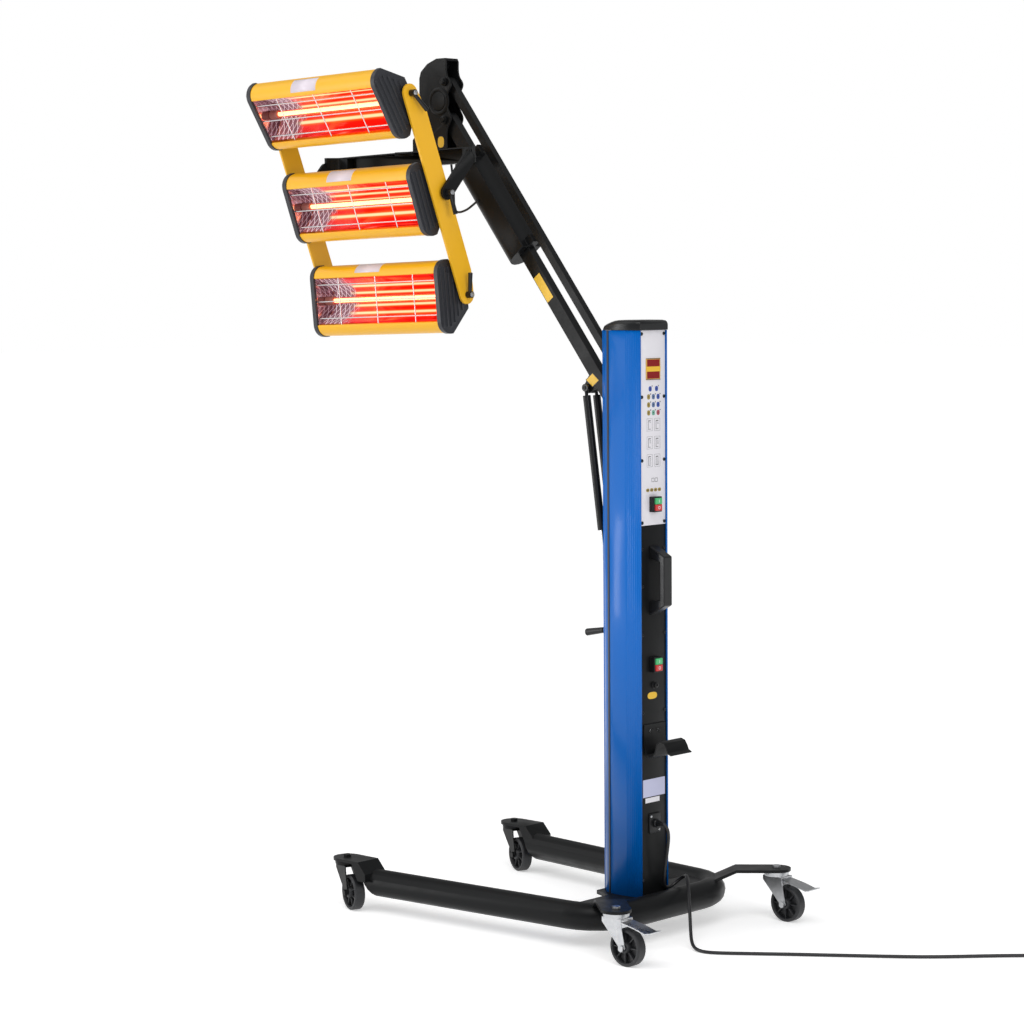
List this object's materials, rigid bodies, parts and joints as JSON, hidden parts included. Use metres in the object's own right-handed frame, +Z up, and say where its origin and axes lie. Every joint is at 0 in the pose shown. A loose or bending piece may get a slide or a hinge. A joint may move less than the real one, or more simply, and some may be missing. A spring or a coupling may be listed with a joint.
{
  "type": "infrared paint curing lamp",
  "caption": "Rolling stand with a column and a lifting arm that carries a tilting frame of infrared lamps for drying paint.",
  "frame": {"origin": "on the floor, under the middle of the lamp's extent without its cord", "axes": "+X the way the arm reaches out from the column, +Y the way the lamps face at rest, +Z up"},
  "size_m": [1.707, 0.8084, 1.7916],
  "materials": {
    "black_powder_coat": "fine textured black powder coat",
    "blue_powder_coat": "glossy blue powder coat",
    "yellow_enamel": "glossy yellow enamel",
    "pale_yellow_enamel": "satin yellow enamel on the side bars",
    "black_plastic": "satin moulded plastic",
    "white_panel": "satin front panel",
    "zinc_plate": "bright zinc plate",
    "wheel_rubber": "moulded black wheel",
    "cord_rubber": "smooth black cord sheath",
    "quartz_glass": "clear quartz tube that glows red",
    "guard_wire": "polished steel wire",
    "green_plastic": "glossy push button",
    "red_plastic": "glossy push button"
  },
  "bodies": {
    "stand": {"base_frame": "black_powder_coat", "column_shell_left": "blue_powder_coat", "column_shell_right": "blue_powder_coat", "column_cap": "black_plastic", "column_spine": "black_powder_coat", "control_panel": "white_panel", "lower_panel": "black_powder_coat", "upper_switch_housing": "black_plastic", "lower_switch_housing": "black_plastic", "fuse_cap": "black_plastic", "carry_handle": "black_plastic", "cord_hook": "black_powder_coat", "power_inlet": "black_plastic", "mains_cord": "cord_rubber", "mains_cord_coil": "cord_rubber", "mains_plug": "cord_rubber"},
    "swivel_front_left": {"caster_fork_front_left": "black_powder_coat"},
    "swivel_front_right": {"caster_fork_front_right": "black_powder_coat"},
    "swivel_rear_left": {"caster_fork_rear_left": "zinc_plate"},
    "swivel_rear_right": {"caster_fork_rear_right": "zinc_plate"},
    "wheel_front_left": {"caster_wheel_front_left": "wheel_rubber"},
    "wheel_front_right": {"caster_wheel_front_right": "wheel_rubber"},
    "wheel_rear_left": {"caster_wheel_rear_left": "wheel_rubber"},
    "wheel_rear_right": {"caster_wheel_rear_right": "wheel_rubber"},
    "pedal_rear_left": {"brake_pedal_rear_left": "zinc_plate"},
    "pedal_rear_right": {"brake_pedal_rear_right": "zinc_plate"},
    "arm": {"main_arm": "black_powder_coat", "arm_cover": "black_powder_coat"},
    "tie": {"tie_bar": "black_powder_coat"},
    "gas_left": {"gas_cylinder_left": "black_powder_coat"},
    "gas_right": {"gas_cylinder_right": "black_powder_coat"},
    "rod_left": {"gas_rod_left": "zinc_plate"},
    "rod_right": {"gas_rod_right": "zinc_plate"},
    "bracket": {"head_bracket": "black_powder_coat"},
    "fork": {"head_fork": "black_powder_coat"},
    "frame": {"side_bar_front": "pale_yellow_enamel", "side_bar_rear": "pale_yellow_enamel"},
    "lamp_top": {"lamp_top_housing": "yellow_enamel", "lamp_top_cap_front": "black_plastic", "lamp_top_cap_rear": "black_plastic", "lamp_top_tube": "quartz_glass", "lamp_top_guard": "guard_wire"},
    "lamp_middle": {"lamp_middle_housing": "yellow_enamel", "lamp_middle_cap_front": "black_plastic", "lamp_middle_cap_rear": "black_plastic", "lamp_middle_tube": "quartz_glass", "lamp_middle_guard": "guard_wire"},
    "lamp_bottom": {"lamp_bottom_housing": "yellow_enamel", "lamp_bottom_cap_front": "black_plastic", "lamp_bottom_cap_rear": "black_plastic", "lamp_bottom_tube": "quartz_glass", "lamp_bottom_guard": "guard_wire"},
    "top_lever": {"clamp_lever_top": "black_plastic"},
    "bottom_lever": {"clamp_lever_bottom": "black_plastic"},
    "fork_lever": {"clamp_lever_fork": "black_plastic"},
    "lock_lever": {"arm_lock_lever": "black_plastic"},
    "upper_on": {"upper_on_button": "green_plastic"},
    "upper_off": {"upper_off_button": "red_plastic"},
    "lower_on": {"lower_on_button": "green_plastic"},
    "lower_off": {"lower_off_button": "red_plastic"}
  },
  "joints": [
    {"name": "swivel_front_left_turn", "type": "hinge", "parent": "stand", "child": "swivel_front_left", "pos_m": [0.30983, 0.23014, 0], "axis": [0, 0, 1], "continuous": true},
    {"name": "swivel_front_right_turn", "type": "hinge", "parent": "stand", "child": "swivel_front_right", "pos_m": [0.30983, -0.28586, 0], "axis": [0, 0, 1], "continuous": true},
    {"name": "swivel_rear_left_turn", "type": "hinge", "parent": "stand", "child": "swivel_rear_left", "pos_m": [-0.44017, 0.22414, 0], "axis": [0, 0, 1], "continuous": true},
    {"name": "swivel_rear_right_turn", "type": "hinge", "parent": "stand", "child": "swivel_rear_right", "pos_m": [-0.44017, -0.27986, 0], "axis": [0, 0, 1], "continuous": true},
    {"name": "wheel_front_left_spin", "type": "hinge", "parent": "swivel_front_left", "child": "wheel_front_left", "pos_m": [0.28164, 0.2404, 0.0375], "axis": [-0.342, -0.9397, 0], "continuous": true},
    {"name": "wheel_front_right_spin", "type": "hinge", "parent": "swivel_front_right", "child": "wheel_front_right", "pos_m": [0.28164, -0.2756, 0.0375], "axis": [-0.342, -0.9397, 0], "continuous": true},
    {"name": "wheel_rear_left_spin", "type": "hinge", "parent": "swivel_rear_left", "child": "wheel_rear_left", "pos_m": [-0.47017, 0.22414, 0.0375], "axis": [0, -1, 0], "continuous": true},
    {"name": "wheel_rear_right_spin", "type": "hinge", "parent": "swivel_rear_right", "child": "wheel_rear_right", "pos_m": [-0.47017, -0.27986, 0.0375], "axis": [0, -1, 0], "continuous": true},
    {"name": "brake_rear_left_tip", "type": "hinge", "parent": "swivel_rear_left", "child": "pedal_rear_left", "pos_m": [-0.46777, 0.22414, 0.0855], "axis": [0, -1, 0], "range_deg": [0, 10]},
    {"name": "brake_rear_right_tip", "type": "hinge", "parent": "swivel_rear_right", "child": "pedal_rear_right", "pos_m": [-0.46777, -0.27986, 0.0855], "axis": [0, -1, 0], "range_deg": [0, 10]},
    {"name": "arm_lift", "type": "hinge", "parent": "stand", "child": "arm", "pos_m": [-0.26917, -0.02786, 1.013], "axis": [0, -1, 0], "range_deg": [-67, 2]},
    {"name": "tie_swing", "type": "hinge", "parent": "stand", "child": "tie", "pos_m": [-0.26917, -0.02786, 1.093], "axis": [0, -1, 0], "range_deg": [-67, 2]},
    {"name": "bracket_level", "type": "hinge", "parent": "arm", "child": "bracket", "pos_m": [0.23577, -0.02786, 1.66163], "axis": [0, -1, 0], "range_deg": [-2, 67]},
    {"name": "gas_left_swing", "type": "hinge", "parent": "arm", "child": "gas_left", "pos_m": [-0.15726, -0.01246, 1.10304], "axis": [0, -1, 0], "range_deg": [-2, 62]},
    {"name": "gas_right_swing", "type": "hinge", "parent": "arm", "child": "gas_right", "pos_m": [-0.15726, -0.04326, 1.10304], "axis": [0, -1, 0], "range_deg": [-2, 62]},
    {"name": "rod_left_slide", "type": "slide", "parent": "gas_left", "child": "rod_left", "axis": [-0.1415, 0, -0.9899], "range_m": [-0.155, 0.006]},
    {"name": "rod_right_slide", "type": "slide", "parent": "gas_right", "child": "rod_right", "axis": [-0.1415, 0, -0.9899], "range_m": [-0.155, 0.006]},
    {"name": "head_yaw", "type": "hinge", "parent": "bracket", "child": "fork", "pos_m": [0.30377, -0.02786, 1.59533], "axis": [0, 0, 1], "range_deg": [-185, 5]},
    {"name": "frame_tilt", "type": "hinge", "parent": "fork", "child": "frame", "pos_m": [0.30118, 0.14014, 1.49636], "axis": [0.9997, 0, -0.0262], "range_deg": [-20, 30]},
    {"name": "lamp_top_tilt", "type": "hinge", "parent": "frame", "child": "lamp_top", "pos_m": [0.30639, 0.22751, 1.69542], "axis": [0.9997, 0, -0.0262], "range_deg": [-25, 25]},
    {"name": "lamp_middle_tilt", "type": "hinge", "parent": "frame", "child": "lamp_middle", "pos_m": [0.30118, 0.14014, 1.49636], "axis": [0.9997, 0, -0.0262], "range_deg": [-25, 25]},
    {"name": "lamp_bottom_tilt", "type": "hinge", "parent": "frame", "child": "lamp_bottom", "pos_m": [0.29571, 0.07908, 1.28773], "axis": [0.9997, 0, -0.0262], "range_deg": [-25, 25]},
    {"name": "top_lever_turn", "type": "hinge", "parent": "frame", "child": "top_lever", "pos_m": [0.09806, 0.22751, 1.70087], "axis": [0.9997, 0, -0.0262], "range_deg": [-30, 60]},
    {"name": "bottom_lever_turn", "type": "hinge", "parent": "frame", "child": "bottom_lever", "pos_m": [0.08739, 0.07908, 1.29319], "axis": [0.9997, 0, -0.0262], "range_deg": [-30, 60]},
    {"name": "fork_lever_turn", "type": "hinge", "parent": "fork", "child": "fork_lever", "pos_m": [0.08195, 0.14014, 1.5021], "axis": [0.9997, 0, -0.0262], "range_deg": [-30, 60]},
    {"name": "lock_lever_turn", "type": "hinge", "parent": "stand", "child": "lock_lever", "pos_m": [-0.21917, -0.02786, 0.612], "axis": [0, 1, 0], "range_deg": [-15, 20]},
    {"name": "upper_on_press", "type": "slide", "parent": "stand", "child": "upper_on", "axis": [1, 0, 0], "range_m": [0, 0.002], "stiffness_N_per_m": 400},
    {"name": "upper_off_press", "type": "slide", "parent": "stand", "child": "upper_off", "axis": [1, 0, 0], "range_m": [0, 0.002], "stiffness_N_per_m": 400},
    {"name": "lower_on_press", "type": "slide", "parent": "stand", "child": "lower_on", "axis": [1, 0, 0], "range_m": [0, 0.002], "stiffness_N_per_m": 400},
    {"name": "lower_off_press", "type": "slide", "parent": "stand", "child": "lower_off", "axis": [1, 0, 0], "range_m": [0, 0.002], "stiffness_N_per_m": 400}
  ],
  "couplings": [
    {"joint": "tie_swing", "follows": "arm_lift", "ratio": 1},
    {"joint": "bracket_level", "follows": "arm_lift", "ratio": -1},
    {"joint": "gas_left_swing", "follows": "arm_lift", "ratio": -0.9115},
    {"joint": "gas_right_swing", "follows": "arm_lift", "ratio": -0.9115},
    {"joint": "rod_left_slide", "follows": "arm_lift", "m_per_rad": 0.1303},
    {"joint": "rod_right_slide", "follows": "arm_lift", "m_per_rad": 0.1303}
  ]
}
